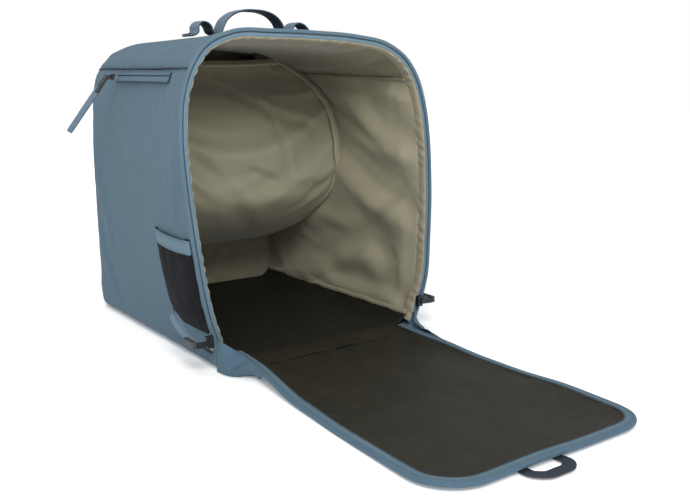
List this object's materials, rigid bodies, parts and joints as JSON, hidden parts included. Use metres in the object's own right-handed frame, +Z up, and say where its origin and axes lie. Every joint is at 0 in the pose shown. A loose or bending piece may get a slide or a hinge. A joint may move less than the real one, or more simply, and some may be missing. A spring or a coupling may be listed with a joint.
{
  "type": "ski boot bag",
  "caption": "Upright padded boot bag with arched top, zipped front panel folded down as a mat, lined inside with divider, side pockets and top handle.",
  "frame": {"origin": "centre of the bag base on its underside, where the bag stands", "axes": "+X to the right across the opening, +Y from the opening to the back panel, +Z up; the front panel lies open towards -Y"},
  "size_m": [0.4154, 0.811, 0.435],
  "materials": {
    "shell_polyester": "woven polyester, slightly satin",
    "coated_base": "coated woven polyester",
    "foam": "closed-cell foam",
    "board": "stiff foam board",
    "lining": "satin nylon, soft folds",
    "tarpaulin": "coated tarpaulin, satin",
    "binding": "woven binding tape",
    "edge_binding": "woven binding tape",
    "zip_tape": "woven zip tape",
    "zip_coil": "nylon coil",
    "slider_metal": "satin lacquer",
    "moulded_pull": "moulded, fine grain",
    "webbing": "ribbed webbing",
    "webbing_dark": "ribbed webbing",
    "stretch_mesh": "stretch knit",
    "mesh": "open mesh",
    "thread": "sewing thread"
  },
  "bodies": {
    "bag": {"side_panel_left": "shell_polyester", "side_panel_right": "shell_polyester", "top_gusset": "shell_polyester", "back_panel": "shell_polyester", "base_panel": "coated_base", "side_foam_left": "foam", "side_foam_right": "foam", "top_foam": "foam", "back_foam": "foam", "base_board": "board", "side_lining_left": "lining", "side_lining_right": "lining", "ceiling_lining": "lining", "back_lining": "lining", "divider_panel": "lining", "side_pocket_bag": "lining", "floor_tarpaulin": "tarpaulin", "rim_facing": "binding", "divider_hem": "binding", "floor_seam_left": "binding", "floor_seam_right": "binding", "rim_piping": "edge_binding", "body_zip_tape": "zip_tape", "side_zip_tape": "zip_tape", "body_zip_coil": "zip_coil", "side_zip_coil": "zip_coil", "handle_strap": "webbing", "stash_hem": "webbing", "handle_lining": "webbing_dark", "stash_pocket": "stretch_mesh", "divider_mesh": "mesh", "handle_tacks": "thread"},
    "flap": {"flap_outer": "shell_polyester", "flap_foam": "foam", "flap_tarpaulin": "tarpaulin", "flap_binding": "edge_binding", "flap_zip_tape": "zip_tape", "flap_zip_coil": "zip_coil", "grab_loop": "webbing_dark"},
    "left_slider": {"main_slider_left": "slider_metal"},
    "left_puller": {"main_pull_left": "moulded_pull", "main_loop_left": "webbing"},
    "right_slider": {"main_slider_right": "slider_metal"},
    "right_puller": {"main_pull_right": "moulded_pull", "main_loop_right": "webbing"},
    "side_slider": {"side_slider": "slider_metal"},
    "side_puller": {"side_pull": "moulded_pull", "side_loop": "webbing"}
  },
  "joints": [
    {"name": "flap_hinge", "type": "hinge", "parent": "bag", "child": "flap", "pos_m": [0, -0.196, 0.008], "axis": [-1, 0, 0], "range_deg": [0, 90]},
    {"name": "left_slider_slide", "type": "slide", "parent": "bag", "child": "left_slider", "axis": [-0.0574, 0, 0.9984], "range_m": [0, 0.25]},
    {"name": "right_slider_slide", "type": "slide", "parent": "bag", "child": "right_slider", "axis": [0.0574, 0, 0.9984], "range_m": [0, 0.25]},
    {"name": "left_pull_hinge", "type": "hinge", "parent": "left_slider", "child": "left_puller", "pos_m": [-0.18259, -0.2015, 0.04], "axis": [0, 0, 1], "range_deg": [0, 165]},
    {"name": "right_pull_hinge", "type": "hinge", "parent": "right_slider", "child": "right_puller", "pos_m": [0.18259, -0.2015, 0.04], "axis": [0, 0, -1], "range_deg": [0, 165]},
    {"name": "side_slider_slide", "type": "slide", "parent": "bag", "child": "side_slider", "axis": [-0.0372, -0.9993, 0], "range_m": [0, 0.18]},
    {"name": "side_pull_hinge", "type": "hinge", "parent": "side_slider", "child": "side_puller", "pos_m": [-0.17396, 0.056, 0.34708], "axis": [0, 1, 0], "range_deg": [-16, 110]}
  ]
}
